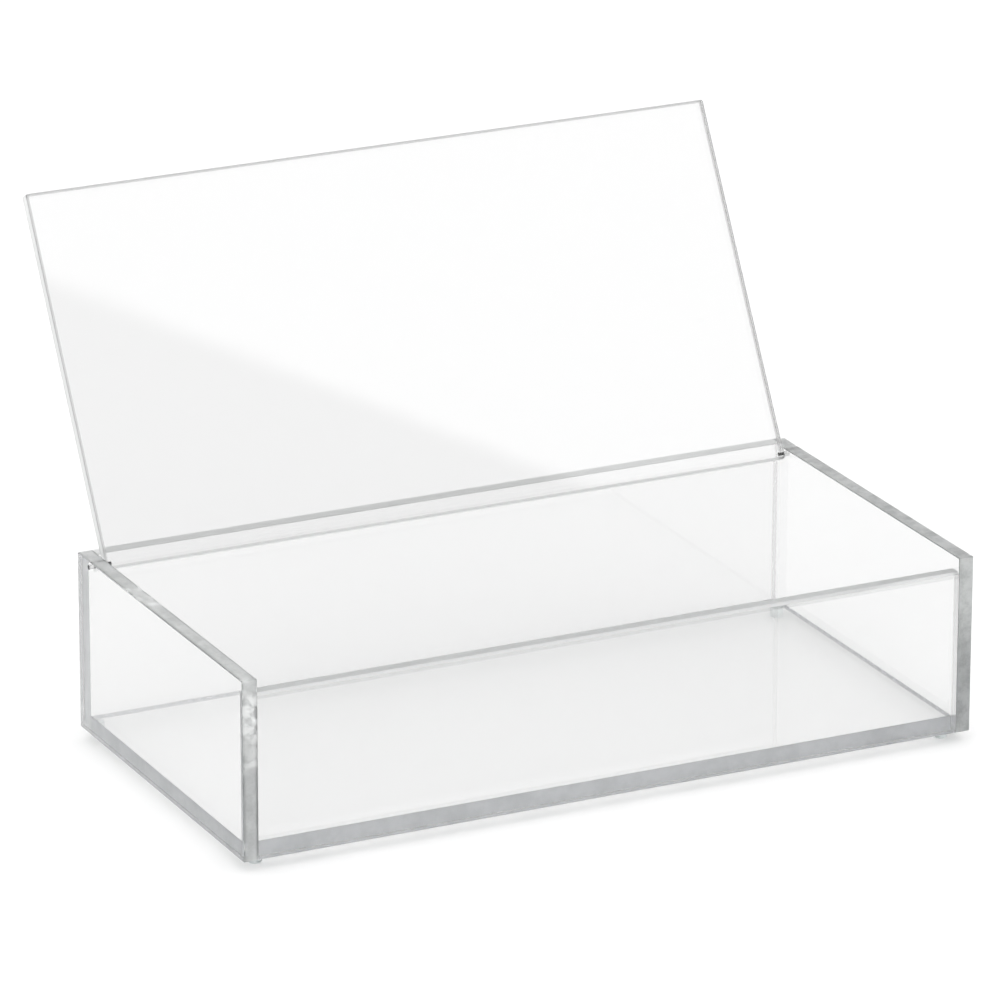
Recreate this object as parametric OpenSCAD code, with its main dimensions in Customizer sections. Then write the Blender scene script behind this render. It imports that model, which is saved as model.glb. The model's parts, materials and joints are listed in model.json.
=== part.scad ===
// Clear acrylic storage box with a flat lid that turns on two pins.
// The box stands on four small feet, its width lies along X and its front wall
// faces -Y. The lid is drawn open, leaning back on the top of the back wall.
// The origin is on the table, at the middle of the space that the open box takes.

/* [Case] */
// Outside width of the case, over both side walls
case_w = 300; // [200:1:400]
// Outside depth of the case, from front wall to back wall
case_d = 150; // [100:1:220]
// Height of the case, from the underside of the floor to the top of the side walls
case_h = 70; // [45:1:110]
// Thickness of the clear sheet that the floor and the four walls are cut from
wall_t = 6; // [4:0.5:8]
// Thickness of the film of cement between two glued panels
glue_t = 0.05; // [0.02:0.01:0.15]
// Width of the polished arris along the open edges of the panels
arris = 0.4; // [0.2:0.1:0.8]
// Width of the larger bevel along the top front edge of the front wall
rim_bevel = 1; // [0.5:0.1:2]

/* [Lid] */
// Thickness of the lid sheet
lid_t = 5; // [4:0.5:7]
// Air between each end of the lid and the side wall beside it
lid_side_gap = 0.5; // [0.3:0.1:1.5]
// How far the closed lid lies below the top of the side walls
lid_sink = 0.1; // [0:0.1:1.5]
// Air left between the closed lid and the top of the front wall
seat_gap = 0.3; // [0.1:0.05:0.6]
// How far the free edge of the lid stands out past the front wall, for a fingertip
lid_lip = 4; // [0:0.5:8]

/* [Hinge] */
// How far the lid opens before its back face meets the top of the back wall
open_angle = 120; // [112:1:135]
// Diameter of the two metal hinge pins
pin_d = 2; // [1.2:0.1:3]
// Length of each pin that reaches into the end of the lid
pin_reach = 2.5; // [1.5:0.5:8]
// Radial clearance between a pin and the blind bore of the lid
pin_fit = 0.05; // [0.02:0.01:0.1]
// Depth of the blind bore past the end of the pin
bore_end = 0.8; // [0.3:0.1:2]
// Air between the back wall and the rear edge of the lid as it swings past
swing_gap = 1.2; // [0.3:0.1:1.8]
// Air left between the open lid and the top of the back wall
stop_gap = 0.05; // [0.02:0.01:0.15]

/* [Feet] */
// Diameter of a foot
foot_d = 5; // [4:0.5:10]
// Height of a foot
foot_h = 4; // [2:0.5:6]
// Radius round the bottom edge of a foot
foot_round = 0.8; // [0.3:0.1:1.2]
// Distance of the middle of a foot from the outside faces of the case
foot_inset = 8; // [6:0.5:20]

/* [Hidden] */
$fn = 48;

// Colours of the clear sheet, of the pins and of the feet
sheet_color = [0.86, 0.91, 0.90, 0.35];
pin_color = [0.60, 0.60, 0.62];
foot_color = [0.80, 0.84, 0.84, 0.6];

// Half sizes of the case and the inside faces of its walls
half_w = case_w / 2;
half_d = case_d / 2;
inner_x = half_w - wall_t;
inner_y = half_d - wall_t;
rim_z = foot_h + case_h;

// The front wall is lower than the side walls, so that the closed lid lies between them
front_top_z = rim_z - lid_sink - lid_t - seat_gap;

// The pins run through the middle of the lid's thickness
pin_z = rim_z - lid_sink - lid_t / 2;

// The pins stand just far enough before the back wall for the back face of the lid
// to meet the top of that wall at the open angle
pin_drop = rim_z - pin_z;
pin_to_wall = (lid_t / 2 + stop_gap - pin_drop * cos(open_angle)) / sin(open_angle);
pin_y = inner_y - pin_to_wall;

// The rear edge of the lid reaches as far past the pins as its corners can swing
heel = sqrt(pow(pin_to_wall - swing_gap, 2) - pow(lid_t / 2, 2));
lid_w = 2 * (inner_x - lid_side_gap);
lid_front = half_d + pin_y + lid_lip;

// Lean of the open lid behind the vertical, and the rearmost point of its tip
lean = open_angle - 90;
tip_y = pin_y + max((lid_front - arris) * sin(lean) + lid_t / 2 * cos(lean),
                    lid_front * sin(lean) + (lid_t / 2 - arris) * cos(lean));

// Middle of the whole open box along the depth
middle_y = (max(tip_y, half_d) - half_d) / 2;

// Rectangle from the low corner [x0, y0] to the high corner [x1, y1], with one bevel
// width for each corner: low left, low right, high right, high left
function bevelled(x0, y0, x1, y1, cuts) = [
    [x0, y0 + cuts[0]], [x0 + cuts[0], y0],
    [x1 - cuts[1], y0], [x1, y0 + cuts[1]],
    [x1, y1 - cuts[2]], [x1 - cuts[2], y1],
    [x0 + cuts[3], y1], [x0, y1 - cuts[3]],
];

// Extrudes an outline of [y, z] points along X
module along_x(x0, x1)
    translate([x0, 0, 0]) rotate([90, 0, 90]) linear_extrude(x1 - x0) children();

// Extrudes an outline of [x, z] points along Y
module along_y(y0, y1)
    translate([0, y1, 0]) rotate([90, 0, 0]) linear_extrude(y1 - y0) children();

// Moves a piece from the middle of the case to the middle of the open box
module placed() translate([0, -middle_y, 0]) children();

// The floor is glued between the four walls, level with their lower edges
module floor_panel() color(sheet_color) placed()
    translate([glue_t - inner_x, glue_t - inner_y, foot_h])
        cube([2 * (inner_x - glue_t), 2 * (inner_y - glue_t), wall_t]);

// The front wall stands between the side walls and ends below the lid
module front_wall() color(sheet_color) placed()
    along_x(glue_t - inner_x, inner_x - glue_t)
        polygon(bevelled(-half_d, foot_h, -inner_y, front_top_z, [arris, 0, arris, rim_bevel]));

// The back wall is as high as the side walls and stops the open lid
module back_wall() color(sheet_color) placed()
    along_x(glue_t - inner_x, inner_x - glue_t)
        polygon(bevelled(inner_y, foot_h, half_d, rim_z, [0, arris, arris, 0]));

// A side wall covers the ends of the front and back walls and holds a hinge pin.
// It is drawn on the right, and the left one is its mirror image.
module side_wall() difference() {
    intersection() {
        along_y(-half_d, half_d)
            polygon(bevelled(inner_x, foot_h, half_w, rim_z, [0, arris, arris, arris]));
        translate([0, 0, foot_h]) linear_extrude(case_h)
            polygon(bevelled(inner_x, -half_d, half_w, half_d, [0, arris, arris, 0]));
    }
    along_x(inner_x - wall_t, half_w + wall_t) translate([pin_y, pin_z]) circle(d = pin_d);
}
module right_side_wall() color(sheet_color) placed() side_wall();
module left_side_wall() color(sheet_color) placed() mirror([1, 0, 0]) side_wall();

// The closed lid round its own pin axis: a flat sheet, eased on every edge, with a
// blind bore in each end
module lid_sheet() difference() {
    intersection() {
        along_x(-lid_w / 2, lid_w / 2)
            polygon(bevelled(-lid_front, -lid_t / 2, heel, lid_t / 2, [arris, arris, arris, arris]));
        along_y(-lid_front, heel)
            polygon(bevelled(-lid_w / 2, -lid_t / 2, lid_w / 2, lid_t / 2,
                             [arris, arris, arris, arris]));
        translate([0, 0, -lid_t]) linear_extrude(2 * lid_t)
            polygon(bevelled(-lid_w / 2, -lid_front, lid_w / 2, heel,
                             [arris, arris, arris, arris]));
    }
    for (side = [0, 1]) mirror([side, 0, 0])
        along_x(inner_x - pin_reach - bore_end, half_w) circle(r = pin_d / 2 + pin_fit);
}

// The lid turns about the pins from closed to its open angle
module lid() color(sheet_color) placed()
    translate([0, pin_y, pin_z]) rotate([-open_angle, 0, 0]) lid_sheet();

// A pin is tight in its side wall, flush with the outside face, and rounded off at the
// end that goes into the lid. It is drawn on the right.
module hinge_pin() translate([0, pin_y, pin_z]) rotate([0, 90, 0]) {
    translate([0, 0, inner_x - pin_reach + arris]) cylinder(d = pin_d, h = wall_t + pin_reach - arris);
    translate([0, 0, inner_x - pin_reach]) cylinder(d1 = pin_d - 2 * arris, d2 = pin_d, h = arris);
}
module hinge_pin_right() color(pin_color) placed() hinge_pin();
module hinge_pin_left() color(pin_color) placed() mirror([1, 0, 0]) hinge_pin();

// A foot is a short round stud with a rounded bottom edge, glued under a corner.
// The two signs choose the corner.
module foot(side_x, side_y) color(foot_color) placed()
    translate([side_x * (half_w - foot_inset), side_y * (half_d - foot_inset), 0])
        rotate_extrude() union() {
            translate([0, foot_round]) square([foot_d / 2, foot_h - foot_round]);
            square([foot_d / 2 - foot_round, foot_h]);
            intersection() {
                translate([foot_d / 2 - foot_round, foot_round]) circle(r = foot_round);
                square([foot_d / 2, foot_h]);
            }
        }
module foot_front_left() foot(-1, -1);
module foot_front_right() foot(1, -1);
module foot_rear_left() foot(-1, 1);
module foot_rear_right() foot(1, 1);

floor_panel();
front_wall();
back_wall();
left_side_wall();
right_side_wall();
lid();
hinge_pin_left();
hinge_pin_right();
foot_front_left();
foot_front_right();
foot_rear_left();
foot_rear_right();
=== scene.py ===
# %% [markdown]
# # A clear acrylic storage box with its lid leaning open
#
# The real box is cut from clear cast acrylic sheet: a floor, four walls and a
# lid. Solvent cement joins the walls, two steel pins carry the lid, and four
# silicone feet hold the box off the table. Clear sheet has almost no colour of
# its own, so what we see is its edges, its joints and what it mirrors. That is
# why every sheet here is a real solid with rounded, polished arrises and real
# bores, and why the light comes from one large sky with a soft window in it.
#
# Lengths are in metres and taken from the imported frame, so each piece lands
# where the imported solid is.

# %% Load the frame and keep its box
import json
import math

import bmesh
import bpy
import numpy as np
from mathutils import Matrix, Vector


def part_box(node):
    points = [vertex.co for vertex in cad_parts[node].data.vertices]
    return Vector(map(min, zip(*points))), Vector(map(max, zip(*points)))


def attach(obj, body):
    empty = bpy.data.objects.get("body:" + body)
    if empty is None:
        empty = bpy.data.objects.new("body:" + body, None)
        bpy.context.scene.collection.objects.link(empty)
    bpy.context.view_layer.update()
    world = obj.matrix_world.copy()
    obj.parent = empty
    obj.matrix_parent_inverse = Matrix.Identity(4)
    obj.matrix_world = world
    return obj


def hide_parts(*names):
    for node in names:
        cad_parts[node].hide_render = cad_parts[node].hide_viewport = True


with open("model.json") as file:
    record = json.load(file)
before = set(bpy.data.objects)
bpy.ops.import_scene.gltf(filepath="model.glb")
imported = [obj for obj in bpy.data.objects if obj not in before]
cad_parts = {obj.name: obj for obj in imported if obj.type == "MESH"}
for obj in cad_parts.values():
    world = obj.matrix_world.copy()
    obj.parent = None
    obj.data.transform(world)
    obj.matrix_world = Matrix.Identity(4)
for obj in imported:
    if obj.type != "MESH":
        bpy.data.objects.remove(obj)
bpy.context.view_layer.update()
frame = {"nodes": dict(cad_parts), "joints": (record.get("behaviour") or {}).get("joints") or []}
MM = 0.001
print("nodes in the frame:", sorted(frame["nodes"]))

# %% [markdown]
# ## The camera
#
# The camera was worked out from the corners of the box in the picture and the
# box's real sizes. It stands almost three metres away with a very long lens,
# which is why opposite edges look parallel. It is made before any piece, so
# that every later choice can be judged from the right place.

# %% Stand the camera
CAMERA_PLACE = Vector((-1.1648, -2.3840, 1.0339))
CAMERA_AZIMUTH, CAMERA_ELEVATION, CAMERA_ROLL = -26.1351, 19.6715, 0.1214
CAMERA_LENS = 268.85
SENSOR_WIDTH = 36.0


def facing(azimuth, elevation, roll):
    """The camera's three axes. back points from the box to the camera, right lies level, up is back
    crossed with right, and a roll turns right and up about back."""
    a, e, r = (math.radians(value) for value in (azimuth, elevation, roll))
    back = Vector((math.sin(a) * math.cos(e), -math.cos(a) * math.cos(e), math.sin(e)))
    right = Vector((math.cos(a), math.sin(a), 0))
    up = back.cross(right)
    turned_right = right * math.cos(r) + up * math.sin(r)
    turned_up = up * math.cos(r) - right * math.sin(r)
    return turned_right, turned_up, back


right, up, back = facing(CAMERA_AZIMUTH, CAMERA_ELEVATION, CAMERA_ROLL)
camera_data = bpy.data.cameras.new("camera")
camera_data.lens, camera_data.sensor_width = CAMERA_LENS, SENSOR_WIDTH
camera_data.clip_start, camera_data.clip_end = 0.1, 60.0
camera = bpy.data.objects.new("camera", camera_data)
bpy.context.scene.collection.objects.link(camera)
camera.matrix_world = Matrix((right, up, back)).transposed().to_4x4()
camera.location = CAMERA_PLACE
bpy.context.scene.camera = camera
print("camera stands", round(CAMERA_PLACE.length, 3), "m from the middle of the box's foot")

# %% [markdown]
# ## From arrays to a piece
#
# Every new surface starts as a grid of points: rows along a path, columns
# round a profile. The quads follow from the row and column numbers alone, so
# one helper can build them for any shape. Where a grid closes on itself, at a
# seam or a pole, the doubled points are merged and the faces turned outwards.
# A weighted normal keeps each large polished face truly flat in its shading,
# and lets only the small rounded arris bend the light.

# %% Turn a grid of points into a closed piece
MERGE = 1e-8
SHARP = math.radians(40)


def grid_quads(rows, columns, rows_close=False):
    """The quads of a grid whose columns close on themselves: corner (i, j), (i, j+1), (i+1, j+1), (i+1, j)."""
    i = np.arange(rows if rows_close else rows - 1)[:, None]
    j = np.arange(columns)[None, :]
    below, beside = (i + 1) % rows, (j + 1) % columns
    corners = (i * columns + j, i * columns + beside, below * columns + beside, below * columns + j)
    return np.stack([c + 0 * i + 0 * j for c in corners], axis=-1).reshape(-1, 4)


def piece_from(name, grid, body, material, rows_close=False, caps=True, node=None):
    """A grid of shape (rows, columns, 3) becomes a named piece that rides on a body. caps closes the first
    and last row with one face each."""
    rows, columns = grid.shape[:2]
    faces = grid_quads(rows, columns, rows_close).tolist()
    if caps and not rows_close:
        faces += [list(range(columns))[::-1], list(range((rows - 1) * columns, rows * columns))]
    mesh = bpy.data.meshes.new(name)
    mesh.from_pydata(grid.reshape(-1, 3).tolist(), [], faces)
    shape = bmesh.new()
    shape.from_mesh(mesh)
    bmesh.ops.remove_doubles(shape, verts=shape.verts, dist=MERGE)
    bmesh.ops.dissolve_degenerate(shape, edges=shape.edges, dist=MERGE)
    bmesh.ops.recalc_face_normals(shape, faces=shape.faces)
    shape.to_mesh(mesh)
    shape.free()
    mesh.polygons.foreach_set("use_smooth", np.ones(len(mesh.polygons), bool))
    mesh.set_sharp_from_angle(angle=SHARP)
    mesh.materials.append(material)
    piece = bpy.data.objects.new(name, mesh)
    bpy.context.scene.collection.objects.link(piece)
    flat = piece.modifiers.new("flat faces", "WEIGHTED_NORMAL")
    flat.keep_sharp = True
    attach(piece, body)
    if node:
        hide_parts(node)
    print(f"{name}: {len(mesh.vertices)} points, {len(mesh.polygons)} faces")
    return piece


# %% [markdown]
# ## Shader expressions
#
# A material is easier to read as arithmetic than as a cloud of nodes. This
# small class wraps a node's output. Adding, multiplying or subtracting two of
# them adds the Math node that does it, and one method makes every other node.

# %% A socket that can be calculated with
class Wire:
    """An output socket in a node tree. Sums and products of wires become Math nodes."""

    def __init__(self, tree, socket):
        self.tree, self.socket = tree, socket

    def node(self, kind, settings=None, **inputs):
        """Adds a node of this kind, puts its settings in first, then its inputs, and gives the node."""
        made = self.tree.nodes.new(kind)
        for key, value in (settings or {}).items():
            setattr(made, key, value)
        for key, value in inputs.items():
            place = made.inputs[int(key[1:])] if key[0] == "n" and key[1:].isdigit() else made.inputs[key.replace("_", " ")]
            if isinstance(value, Wire):
                self.tree.links.new(value.socket, place)
            else:
                place.default_value = value
        return made

    def wire(self, kind, output=0, settings=None, **inputs):
        """The same, but gives the node's output as a wire."""
        return Wire(self.tree, self.node(kind, settings, **inputs).outputs[output])

    def math(self, operation, other=0.0, third=0.0, clamp=False):
        return self.wire("ShaderNodeMath", settings={"operation": operation, "use_clamp": clamp}, n0=self, n1=other, n2=third)

    def __add__(self, other): return self.math("ADD", other)
    def __mul__(self, other): return self.math("MULTIPLY", other)
    def __sub__(self, other): return self.math("SUBTRACT", other)
    def __truediv__(self, other): return self.math("DIVIDE", other)
    def __rsub__(self, other): return self.wire("ShaderNodeMath", settings={"operation": "SUBTRACT"}, n0=other, n1=self)
    __radd__, __rmul__ = __add__, __mul__

    def dot(self, direction):
        return self.wire("ShaderNodeVectorMath", "Value", {"operation": "DOT_PRODUCT"}, n0=self, n1=tuple(direction))

    def step(self, start, end):
        """0 before start, 1 after end, and a smooth rise between them."""
        return self.wire("ShaderNodeMapRange", settings={"interpolation_type": "SMOOTHSTEP"},
                         Value=self, From_Min=start, From_Max=end)

    def blend(self, first, second):
        """This wire picks between two colours: 0 gives the first, 1 the second."""
        return self.wire("ShaderNodeMix", 2, {"data_type": "RGBA"}, n0=self, n6=first, n7=second)


def fresh(name):
    """A new material with an empty tree, the wire of Object coordinates, and its output node."""
    material = bpy.data.materials.new(name)
    material.use_nodes = True
    tree = material.node_tree
    tree.nodes.clear()
    place = Wire(tree, tree.nodes.new("ShaderNodeTexCoord").outputs["Object"])
    return material, place, tree.nodes.new("ShaderNodeOutputMaterial")


def finish_material(material, place, output, shader, volume=None):
    """Links the finished shader, and a volume if there is one, to the material's output."""
    place.tree.links.new(shader.socket, output.inputs["Surface"])
    if volume:
        place.tree.links.new(volume.socket, output.inputs["Volume"])
    print("material:", material.name, "with", len(place.tree.nodes), "nodes")
    return material


# %% [markdown]
# ## Clear cast acrylic
#
# Acrylic bends light a little less than glass, with an index of 1.49. A thin
# look through a face is almost colourless, but light that runs along inside
# the sheet and comes out at an edge has crossed a hundred millimetres of it,
# and comes out grey with a breath of green. Absorption inside the solid gives
# both from one number, which a tint on the surface can't do. On top of it, the
# sawn edges, their rounded arrises and the rims carry painted shade in their
# colour, and each sheet's see-through grey is partly a faint haze and partly
# painted shade. The polish is not perfect: a very fine ripple and a few rubbed
# spots are kept.

# %% The acrylic
ACRYLIC_INDEX = 1.49
ABSORB_DENSITY = 3.5
ABSORB_COLOUR = (0.36, 0.40, 0.385, 1)





def acrylic(name, face, clear, density=ABSORB_DENSITY, sawn=0.35, milk=0.12, flat=0.74, arris=0.74, wetted_right=False,
            band=None, starts=(0.88, 0.70), rim=None, scuffed=0.0):
    """Clear acrylic. face is the direction that the sheet's broad faces look along, and clear is the grey of the light
    that the sheet lets through, partly a faint haze and partly painted shade. Where the surface looks another way it is
    a sawn edge, frosted, with fine marks of the saw: flat is the painted shade in its colour and arris the painted
    shade of its rounded corners, both standing in for the dark of light piped and bent through the edge, and milk the
    share of the light that it scatters back. wetted_right takes the frost off the end that looks right, where the
    cement has wetted the joint and the edge can't be seen. band is the sheet's middle plane and the two distances from
    it between which the painted shade goes from flat to arris, and starts the two cosines between which an edge starts.
    rim is the two heights between which a painted grey along the rim takes over, and that grey. scuffed is how much
    paler the patches are where a sawn edge was rubbed on the bench."""
    material, place, output = fresh(name)
    looks = Wire(place.tree, place.tree.nodes.new("ShaderNodeTexCoord").outputs["Normal"])
    turned_to = looks.dot(face).math("ABSOLUTE")
    edge = turned_to.step(*starts)
    if wetted_right:
        edge = edge * looks.dot((1, 0, 0)).step(0.9, 0.7)
    streaks = place.wire("ShaderNodeTexNoise", "Fac", Vector=place, Scale=95.0, Detail=5.0, Roughness=0.7).step(0.36, 0.62)
    # Painted shade: the see-through grey is partly a faint haze of the sheet and partly shade, and near the rim a
    # second painted grey takes over.
    through = (clear, clear, clear, 1)
    if rim:
        through = place.dot((0, 0, 1)).step(*rim[:2]).blend(through, (rim[2], rim[2], rim[2], 1))
    # Painted shade: sawn edges get the grey flat and their arrises the grey arris in their colour, broken up by the saw
    # streaks.
    haze_and_painted_shade = (edge * (1 - streaks)).blend(through, (flat, flat * 1.01, flat * 1.005, 1))
    corner = (place.dot(face) - band[0]).math("ABSOLUTE").step(*band[1:]) if band else turned_to.step(0.08, 0.25)
    haze_and_painted_shade = (edge * corner).blend(haze_and_painted_shade, (arris, arris * 1.01, arris * 1.005, 1))
    ripple = place.wire("ShaderNodeTexNoise", "Fac", Vector=place, Scale=60.0, Detail=2.0)
    marks = place.wire("ShaderNodeTexNoise", "Fac", Vector=place, Scale=420.0, Detail=3.0)
    rubbed = place.wire("ShaderNodeTexNoise", "Fac", Vector=place, Scale=14.0, Detail=4.0).step(0.62, 0.80)
    height = ripple * 0.3 + edge * marks
    bump = place.wire("ShaderNodeBump", "Normal", Strength=0.03, Distance=0.0002, Height=height)
    polished = place.wire(
        "ShaderNodeBsdfPrincipled", "BSDF",
        Base_Color=haze_and_painted_shade, Roughness=rubbed * 0.015 + edge * (corner * (0.4 - sawn) + sawn), IOR=ACRYLIC_INDEX,
        Transmission_Weight=1.0, Normal=bump,
    )
    frost = place.wire("ShaderNodeBsdfDiffuse", "BSDF", Color=(0.88, 0.89, 0.885, 1), Normal=bump)
    patches = place.wire("ShaderNodeTexNoise", "Fac", Vector=place, Scale=26.0, Detail=2.0).step(0.46, 0.56)
    scuffs = place.wire("ShaderNodeTexNoise", "Fac", Vector=place, Scale=260.0, Detail=4.0, Roughness=0.6).step(0.44, 0.58)
    from_outside = 1 - place.wire("ShaderNodeNewGeometry", "Backfacing")
    shader = place.wire("ShaderNodeMixShader", "Shader", n0=edge * from_outside * ((1 - corner) * milk + patches * scuffs * scuffed), n1=polished, n2=frost)
    inside = place.wire("ShaderNodeVolumeAbsorption", "Volume", Color=ABSORB_COLOUR, Density=density)
    return finish_material(material, place, output, shader, inside)


LID_LOOKS = (0, -math.sin(math.radians(60)), math.cos(math.radians(60)))
left_low, left_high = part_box("left_side_wall")
front_rim, back_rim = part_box("front_wall")[1].z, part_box("back_wall")[1].z
# Painted shade, set sheet by sheet: the clear, flat and arris greys differ between sheets of one acrylic. The front rim
# is painted darker, and the back wall is painted darker below a clear rim.
acrylic_side = {
    "left": acrylic("acrylic_left_side", (1, 0, 0), 0.99, flat=0.62, arris=0.5, scuffed=0.5,
                    band=((left_low.x + left_high.x) / 2, 1.6 * MM, 2.8 * MM)),
    "right": acrylic("acrylic_right_side", (1, 0, 0), 0.92, milk=0.0, flat=0.5, arris=0.45),
}
acrylic_front = acrylic("acrylic_front", (0, 1, 0), 0.99, flat=0.66, wetted_right=True,
                        rim=(front_rim - 2.5 * MM, front_rim - 2.2 * MM, 0.76))
acrylic_back = acrylic("acrylic_back", (0, 1, 0), 0.86, milk=0.4, flat=0.95, arris=0.6, wetted_right=True,
                       rim=(back_rim - 7 * MM, back_rim - 5 * MM, 0.99))
acrylic_floor = acrylic("acrylic_floor", (0, 0, 1), 0.91)

# %% [markdown]
# ## Steel, silicone and cement
#
# The pins are hard-drawn steel with rings left by the lathe. Cast silicone is
# clear with a milky bloom, so it lets light through but blurs it. Cement is
# pale where it foamed and clear where it wetted both sheets, so it is a mix of
# a see-through shader and a milky one, with cells of bubbles as the mask.

# %% Pins, feet and cement
material, place, output = fresh("pin_steel")
rings = place.wire("ShaderNodeTexWave", "Fac", {"wave_type": "BANDS", "bands_direction": "X"}, Vector=place, Scale=900.0, Distortion=2.0)
shader = place.wire(
    "ShaderNodeBsdfPrincipled", "BSDF", Base_Color=rings.blend((0.015, 0.015, 0.016, 1), (0.04, 0.04, 0.042, 1)), Metallic=1.0,
    Roughness=rings * 0.1 + 0.3, Normal=place.wire("ShaderNodeBump", "Normal", Strength=0.2, Distance=0.00002, Height=rings),
)
pin_steel = finish_material(material, place, output, shader)

material, place, output = fresh("foot_silicone")
bloom = place.wire("ShaderNodeTexNoise", "Fac", Vector=place, Scale=900.0, Detail=3.0)
shader = place.wire(
    "ShaderNodeBsdfPrincipled", "BSDF", Base_Color=bloom.blend((0.80, 0.84, 0.84, 1), (0.92, 0.95, 0.95, 1)),
    Roughness=bloom * 0.2 + 0.25, IOR=1.41, Transmission_Weight=0.75,
    Normal=place.wire("ShaderNodeBump", "Normal", Strength=0.2, Distance=0.00005, Height=bloom),
)
foot_silicone = finish_material(material, place, output, shader)

material, place, output = fresh("cement")
cells = place.wire("ShaderNodeTexVoronoi", "Distance", {"feature": "F1"}, Vector=place, Scale=520.0)
patches = place.wire("ShaderNodeTexNoise", "Fac", Vector=place, Scale=120.0, Detail=4.0).step(0.50, 0.60)
bubbles = cells.step(0.42, 0.30) * patches * 0.5 + 0.45
milk = place.wire("ShaderNodeBsdfPrincipled", "BSDF", Base_Color=cells.blend((0.93, 0.92, 0.97, 1), (0.80, 0.82, 0.84, 1)),
                  Roughness=0.5, Transmission_Weight=0.4, IOR=1.3)
open_film = place.wire("ShaderNodeBsdfTransparent", "BSDF", Color=(1, 1, 1, 1))
shader = place.wire("ShaderNodeMixShader", "Shader", n0=bubbles, n1=open_film, n2=milk)
cement = finish_material(material, place, output, shader)

# %% [markdown]
# ## Sheets with rounded arrises
#
# Each sheet is a convex outline carried along X. A polisher takes the sharp
# arris off every edge, so the outline's corners are small arcs, and towards
# each end the outline shrinks along a quarter circle. The first and last row
# are the flat ends.

# %% Round an outline's corners
ARC_STEPS = 4
ARRIS = 0.4 * MM


def rounded_outline(corners, radius):
    """The points of a convex outline, given counter-clockwise in (y, z), moved in by radius, and the unit
    normals that lead from there back out. Each corner is an arc whose normals turn from one side's to the next's."""
    corners = np.asarray(corners, float)
    sides = np.roll(corners, -1, 0) - corners
    normals = np.stack([sides[:, 1], -sides[:, 0]], 1) / np.linalg.norm(sides, axis=1)[:, None]
    before = np.roll(normals, 1, 0)
    opening = 1 + (before * normals).sum(1, keepdims=True)
    core = corners - radius * (before + normals) / opening
    start = np.arctan2(before[:, 1], before[:, 0])
    turn = (np.arctan2(normals[:, 1], normals[:, 0]) - start) % (2 * np.pi)
    angles = start[:, None] + turn[:, None] * np.linspace(0, 1, ARC_STEPS + 1)
    outward = np.stack([np.cos(angles), np.sin(angles)], -1)
    return np.repeat(core, ARC_STEPS + 1, 0), outward.reshape(-1, 2)


def carried(core, outward, x_from, x_to, radius, end=None):
    """Rows of points for an outline carried along X. With end as the rounding of the two ends, a row near an
    end sits at end times (1 - sine) from it, and reaches out by radius - end times (1 - cosine)."""
    end = radius if end is None else end
    angle = np.linspace(0, np.pi / 2, ARC_STEPS + 1)
    along = np.concatenate([x_from + end * (1 - np.sin(angle[::-1])), x_to - end * (1 - np.sin(angle))])
    reach = radius - end * (1 - np.concatenate([np.cos(angle[::-1]), np.cos(angle)]))
    rows = core[None] + reach[:, None, None] * outward[None]
    return np.concatenate([np.broadcast_to(along[:, None, None], rows.shape[:2] + (1,)), rows], -1)


def rectangle(low, high):
    """The four corners of a box's (y, z) outline, counter-clockwise."""
    return [(low.y, low.z), (high.y, low.z), (high.y, high.z), (low.y, high.z)]


# %% Floor and back wall
FUSED = 0.12 * MM
FUSED_ARRIS = 0.03 * MM
low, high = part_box("floor_panel")
low, high = low - Vector((FUSED, FUSED, 0)), high + Vector((FUSED, FUSED, 0))
core, outward = rounded_outline(rectangle(low, high), FUSED_ARRIS)
piece_from("clear_floor_panel", carried(core, outward, low.x, high.x, FUSED_ARRIS), "case", acrylic_floor, node="floor_panel")

low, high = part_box("back_wall")
core, outward = rounded_outline(rectangle(low, high), ARRIS)
piece_from("clear_back_wall", carried(core, outward, low.x - FUSED, high.x, ARRIS, FUSED_ARRIS), "case", acrylic_back, node="back_wall")

# %% Front wall with its bevelled rim
RIM_BEVEL = 1.0 * MM
low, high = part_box("front_wall")
corners = [
    (low.y, low.z), (high.y, low.z), (high.y, high.z - RIM_BEVEL), (high.y - RIM_BEVEL, high.z),
    (low.y + RIM_BEVEL, high.z), (low.y, high.z - RIM_BEVEL),
]
core, outward = rounded_outline(corners, ARRIS)
piece_from("clear_front_wall", carried(core, outward, low.x - FUSED, high.x, ARRIS, FUSED_ARRIS), "case", acrylic_front, node="front_wall")

# %% [markdown]
# ## Sheets with a bore
#
# The side walls carry the steel pins, and the lid turns on them, so these
# three sheets have real round bores. Cutting a hole with a Boolean would work,
# but a ring of rays gives a cleaner mesh: from the bore's axis a ray goes out
# at every few degrees, and where it meets the outline there is a point. Each
# point of the bore then has its partner on the outline, and one closed grid
# makes the whole pierced sheet.

# %% Match an outline to a bore
RAY_STEP = math.radians(7.5)


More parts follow.
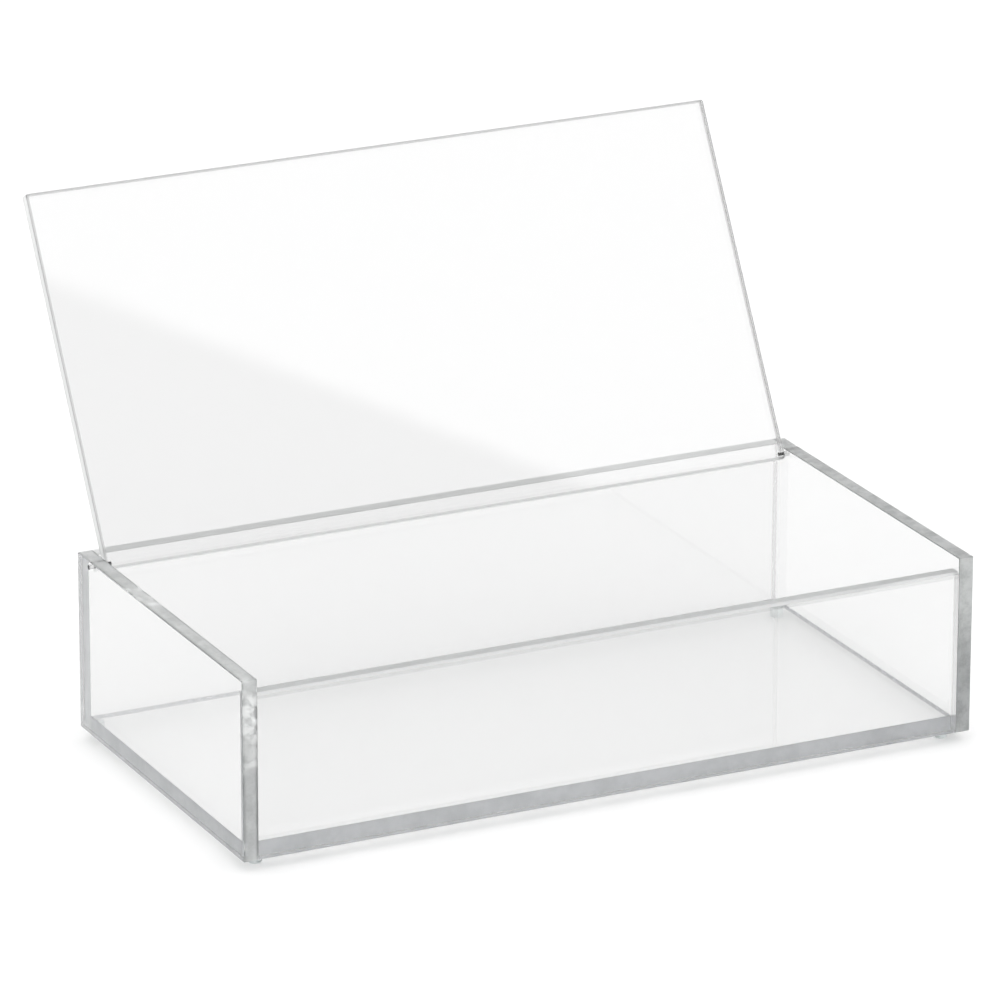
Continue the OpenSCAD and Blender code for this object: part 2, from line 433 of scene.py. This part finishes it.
def rays_to(core, outward, radius, axis):
    """Adds the points where rays from axis at equal angles meet the outline's flat sides, and sorts all
    points by their angle. A ray at angle a meets the side with unit normal n through p at the distance
    n.(p - axis) / n.(cos a, sin a)."""
    ring = core + radius * outward
    ahead = np.roll(ring, -1, 0)
    flat = (outward * np.roll(outward, -1, 0)).sum(1) > 1 - 1e-9
    start, end, normal = ring[flat], ahead[flat], outward[flat]
    angles = np.arange(0, 2 * np.pi, RAY_STEP)
    ray = np.stack([np.cos(angles), np.sin(angles)], 1)
    with np.errstate(divide="ignore"):
        reach = (normal * (start - axis)).sum(1)[None] / (ray @ normal.T)
    hit = axis + reach[..., None] * ray[:, None]
    between = (((hit - start) * (end - start)).sum(-1) > 0) & (((end - hit) * (end - start)).sum(-1) > 0)
    between &= reach > 0
    ring = np.concatenate([ring, hit[between]])
    outward = np.concatenate([outward, np.broadcast_to(normal, hit.shape)[between]])
    order = np.argsort(np.arctan2(ring[:, 1] - axis[1], ring[:, 0] - axis[0]))
    return (ring - radius * outward)[order], outward[order]


def bore_ring(core, outward, radius, axis, bore, x):
    """One ring of the bore: the point at each outline point's own angle, bore away from the axis, at x."""
    away = core + radius * outward - axis
    away = away / np.linalg.norm(away, axis=1)[:, None]
    return np.concatenate([np.full((len(core), 1), x), axis + bore * away], 1)


# %% Side walls
hinge = Vector(frame["joints"][0]["pos_m"])
axis = np.array([hinge.y, hinge.z])
low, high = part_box("hinge_pin_left")
PIN_RADIUS = (high.z - low.z) / 2
EASED = 0.06 * MM
for side in ("left", "right"):
    low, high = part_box(f"{side}_side_wall")
    core, outward = rays_to(*rounded_outline(rectangle(low, high), ARRIS), ARRIS, axis)
    sheet = carried(core, outward, low.x, high.x, ARRIS)
    rings = [(high.x, PIN_RADIUS + EASED), (high.x - EASED, PIN_RADIUS), (low.x + EASED, PIN_RADIUS), (low.x, PIN_RADIUS + EASED)]
    bores = [bore_ring(core, outward, ARRIS, axis, bore, x) for x, bore in rings]
    piece_from(f"clear_{side}_side_wall", np.concatenate([sheet, np.stack(bores)]), "case", acrylic_side[side],
               rows_close=True, node=f"{side}_side_wall")

# %% [markdown]
# ## The lid
#
# The lid is modelled where it rests in the picture, leaning back on the rear
# wall. Its outline is a long thin rectangle that is turned about the pins. Its
# sizes are measured from the imported solid along the lid's own two directions,
# so nothing is typed twice. A blind bore runs into each end.

# %% Lid with two blind bores
OPEN_ANGLE = math.radians(120)
PIN_PLAY = 0.05 * MM
BORE_DEEPER = 0.8 * MM
LID_ARRIS = 0.9 * MM
solid = frame["nodes"]["lid"].data
points = np.empty(len(solid.vertices) * 3, np.float32)
solid.vertices.foreach_get("co", points)
points = points.reshape(-1, 3).astype(float)
lid_up = np.array([-math.cos(OPEN_ANGLE), math.sin(OPEN_ANGLE)])
lid_out = np.array([-lid_up[1], lid_up[0]])
along_lid, through_lid = (points[:, 1:] - axis) @ lid_up, (points[:, 1:] - axis) @ lid_out
print("lid reaches", along_lid.min().round(5), "to", along_lid.max().round(5), "and is", np.ptp(through_lid).round(5), "thick")
corners = [
    axis + a * lid_up + t * lid_out
    for a, t in ((along_lid.min(), through_lid.max()), (along_lid.min(), through_lid.min()),
                 (along_lid.max(), through_lid.min()), (along_lid.max(), through_lid.max()))
]
band = (axis @ lid_out + (through_lid.min() + through_lid.max()) / 2, np.ptp(through_lid) / 2 - LID_ARRIS - 0.1 * MM,
        np.ptp(through_lid) / 2 - LID_ARRIS + 0.1 * MM)
# Painted shade: the lid's sawn edges get an almost clear grey and its arrises a dark one for the thin dark lines along
# its edges, and its see-through grey is partly painted shade.
acrylic_lid = acrylic("acrylic_lid", LID_LOOKS, 0.865, density=0.4, sawn=0.1, milk=0.8, flat=0.97, arris=0.42, band=band, starts=(0.995, 0.96))
core, outward = rays_to(*rounded_outline(corners, LID_ARRIS), LID_ARRIS, axis)
lid_left, lid_right = points[:, 0].min(), points[:, 0].max()
pin_low, pin_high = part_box("hinge_pin_left")
bore_depth = pin_high.x + BORE_DEEPER - lid_left
bore = PIN_RADIUS + PIN_PLAY


def blind_bore(x_mouth, inward):
    """Rings from the mouth to the bottom: eased mouth, wall, and a drill point that runs to the axis."""
    rings = [(0, bore + EASED), (EASED, bore), (bore_depth - bore / 2, bore), (bore_depth, 0)]
    return np.stack([bore_ring(core, outward, LID_ARRIS, axis, r, x_mouth + inward * depth) for depth, r in rings])


sheet = carried(core, outward, lid_left, lid_right, LID_ARRIS)
lid_grid = np.concatenate([blind_bore(lid_left, 1)[::-1], sheet, blind_bore(lid_right, -1)])
piece_from("clear_lid", lid_grid, "lid", acrylic_lid, caps=False, node="lid")

# %% [markdown]
# ## Turned pieces: pins and feet
#
# A pin and a rubber foot are both made by turning a short profile about an
# axis. The pins have a chamfer at each end and a shallow dimple where the
# lathe parted them off. The feet are soft silicone, cast with a round edge
# and a slight waist above it.

# %% Turn a profile about an axis
ROUND_STEPS = 48


def turned(profile, centre, axis_name):
    """The profile's pairs (distance from the axis, place along it), turned once about the axis through centre."""
    angle = np.linspace(0, 2 * np.pi, ROUND_STEPS, endpoint=False)
    profile = np.asarray(profile, float)
    across = profile[:, :1] * np.cos(angle), profile[:, :1] * np.sin(angle)
    along = np.broadcast_to(profile[:, 1:], across[0].shape)
    order = {"x": (along, *across), "z": (*across, along)}[axis_name]
    return np.stack(order, -1) + np.asarray(centre)


# %% Steel pins
PIN_HAIR = 0.03 * MM
PIN_CHAMFER = 0.3 * MM
PIN_RECESS = 0.05 * MM
for side, inward in (("left", 1), ("right", -1)):
    low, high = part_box(f"hinge_pin_{side}")
    length = high.x - low.x - PIN_RECESS
    radius = PIN_RADIUS - PIN_HAIR
    profile = [
        (0, 0.08 * MM), (radius * 0.35, 0.02 * MM), (radius * 0.5, 0), (radius - PIN_CHAMFER / 2, 0), (radius, PIN_CHAMFER / 2),
        (radius, length - PIN_CHAMFER), (radius - PIN_CHAMFER, length), (0, length),
    ]
    outer_end = low.x + PIN_RECESS if inward > 0 else high.x - PIN_RECESS
    profile = [(r, inward * x) for r, x in profile]
    piece_from(f"steel_pin_{side}", turned(profile, (outer_end, hinge.y, hinge.z), "x"), "case", pin_steel,
               caps=False, node=f"hinge_pin_{side}")

# %% Silicone feet
FOOT_HAIR = 0.02 * MM
FOOT_EDGE = 0.9 * MM
edge = np.linspace(0, np.pi / 2, 7)
for place in ("front_left", "front_right", "rear_left", "rear_right"):
    low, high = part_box(f"foot_{place}")
    radius, tall = (high.x - low.x) / 2, high.z - low.z - FOOT_HAIR
    rounded = [(radius - FOOT_EDGE + FOOT_EDGE * math.sin(a), FOOT_EDGE - FOOT_EDGE * math.cos(a)) for a in edge]
    profile = [(0, 0.05 * MM), (radius * 0.45, 0.05 * MM), (radius * 0.55, 0), *rounded, (radius * 0.97, tall * 0.55), (radius * 0.96, tall * 0.8),
               (radius * 0.99, tall - 0.25 * MM), (radius * 0.98, tall - 0.05 * MM), (radius * 0.94, tall), (0, tall)]
    middle = ((low.x + high.x) / 2, (low.y + high.y) / 2, low.z)
    piece_from(f"silicone_foot_{place}", turned(profile, middle, "z"), "case", foot_silicone,
               caps=False, node=f"foot_{place}")

# %% [markdown]
# ## Cement in the joints
#
# Solvent cement is wicked into each joint and leaves a film thinner than
# paper. Where it pulled away as it dried, it kept flat bubbles, and these
# mottled pale spots along the joints are what gives a hand-glued box away.
# Each film is a strip whose width wanders a little, as wide as the thinner
# sheet and thinner than the gap that the solids leave.

# %% Films of cement
FILM_STEPS = 160
rng = np.random.default_rng(7)


def film(name, low, high, thin, long):
    """A strip in the gap between low and high. thin and long are the axes of its thickness and its length,
    and its edges wander by a sum of three waves."""
    wide = ({0, 1, 2} - {thin, long}).pop()
    along = np.linspace(low[long] + ARRIS, high[long] - ARRIS, FILM_STEPS)
    phase, pace = rng.uniform(0, 6.28, (2, 3)), np.array([140.0, 410.0, 1130.0])
    wander = np.sin(along[:, None, None] * pace + phase[None]).sum(-1) / 3
    reach = (high[wide] - low[wide]) / 2 - ARRIS - 0.45 * MM * (1 + wander) / 2
    depth = (high[thin] - low[thin]) * 0.3
    grid = np.empty((FILM_STEPS, 4, 3))
    grid[..., long] = along[:, None]
    grid[..., wide] = (low[wide] + high[wide]) / 2 + np.stack([-reach[:, 0], reach[:, 0], reach[:, 1], -reach[:, 1]], 1) * [1, 1, 1, 1]
    grid[..., thin] = (low[thin] + high[thin]) / 2 + depth * np.array([-1, -1, 1, 1])
    return piece_from(name, grid, "case", cement)


def gap_between(first, second, thin):
    """The box of the gap between two sheets that face each other along the axis thin."""
    (a_low, a_high), (b_low, b_high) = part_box(first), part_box(second)
    low, high = np.maximum(a_low, b_low), np.minimum(a_high, b_high)
    low[thin], high[thin] = min(a_high[thin], b_high[thin]), max(a_low[thin], b_low[thin])
    return low, high


X, Y, Z = 0, 1, 2
for first, second, thin, long in (
    ("left_side_wall", "floor_panel", X, Y), ("right_side_wall", "floor_panel", X, Y),
    ("front_wall", "floor_panel", Y, X), ("back_wall", "floor_panel", Y, X),
    ("left_side_wall", "front_wall", X, Z), ("right_side_wall", "front_wall", X, Z),
    ("left_side_wall", "back_wall", X, Z), ("right_side_wall", "back_wall", X, Z),
):
    film(f"cement_{first.split('_')[0]}_to_{second.split('_')[0]}", *gap_between(first, second, thin), thin, long)

# %% [markdown]
# ## The floor and the sky

# %% Paper floor
material, place, output = fresh("paper")
grain = place.wire("ShaderNodeTexNoise", "Fac", Vector=place, Scale=700.0, Detail=2.0)
shader = place.wire("ShaderNodeBsdfPrincipled", "BSDF", Base_Color=(0.96, 0.96, 0.96, 1), Roughness=1.0,
                    Specular_IOR_Level=0.0, Normal=place.wire("ShaderNodeBump", "Normal", Strength=0.05, Distance=0.0001, Height=grain))
paper = finish_material(material, place, output, shader)
FLOOR_HALF = 25.0
mesh = bpy.data.meshes.new("studio_floor")
mesh.from_pydata([(-FLOOR_HALF, -FLOOR_HALF, 0), (FLOOR_HALF, -FLOOR_HALF, 0), (FLOOR_HALF, FLOOR_HALF, 0), (-FLOOR_HALF, FLOOR_HALF, 0)], [], [(0, 1, 2, 3)])
mesh.materials.append(paper)
studio_floor = bpy.data.objects.new("studio_floor", mesh)
bpy.context.scene.collection.objects.link(studio_floor)

# %% The sky
world = bpy.data.worlds.new("soft_sky")
bpy.context.scene.world = world
world.use_nodes = True
tree = world.node_tree
tree.nodes.clear()
direction = Wire(tree, tree.nodes.new("ShaderNodeTexCoord").outputs["Generated"])


def mirrored(pixel):
    """Where the lid's inner face sends the camera's ray through a pixel of the 1000 x 1000 picture."""
    reach = SENSOR_WIDTH / CAMERA_LENS / 1000
    ray = (right * ((pixel[0] - 500) * reach) + up * ((500 - pixel[1]) * reach) - back).normalized()
    normal = Vector((0, -math.cos(math.radians(30)), math.sin(math.radians(30))))
    return ray - 2 * ray.dot(normal) * normal


SHADE_EDGE = ((57, 285), (570, 480))
first, second = (mirrored(p) for p in SHADE_EDGE)
window_edge = first.cross(second).normalized()
if window_edge.z < 0:
    window_edge = -window_edge
towards = mirrored((400, 300))
WINDOW, SHADE, DOME = 1.45, 0.10, 1.17
above = direction.dot(window_edge).step(-0.0018, 0.0018)
near = direction.dot(towards).step(0.984, 0.992)
front_light = above * (WINDOW - SHADE) + SHADE
level = near * (front_light - DOME) + DOME
background = direction.node("ShaderNodeBackground", Color=(1, 1, 1, 1), Strength=level)
out = tree.nodes.new("ShaderNodeOutputWorld")
tree.links.new(background.outputs[0], out.inputs["Surface"])

# %% How the render treats clear pieces
scene = bpy.context.scene
scene.view_settings.view_transform = "Standard"
scene.view_settings.look = "None"
scene.cycles.max_bounces = 40
scene.cycles.transmission_bounces = 40
scene.cycles.glossy_bounces = 24
scene.cycles.diffuse_bounces = 4
scene.cycles.transparent_max_bounces = 24
scene.cycles.use_denoising = True
scene.cycles.blur_glossy = 0.0
scene.cycles.sample_clamp_indirect = 0.0
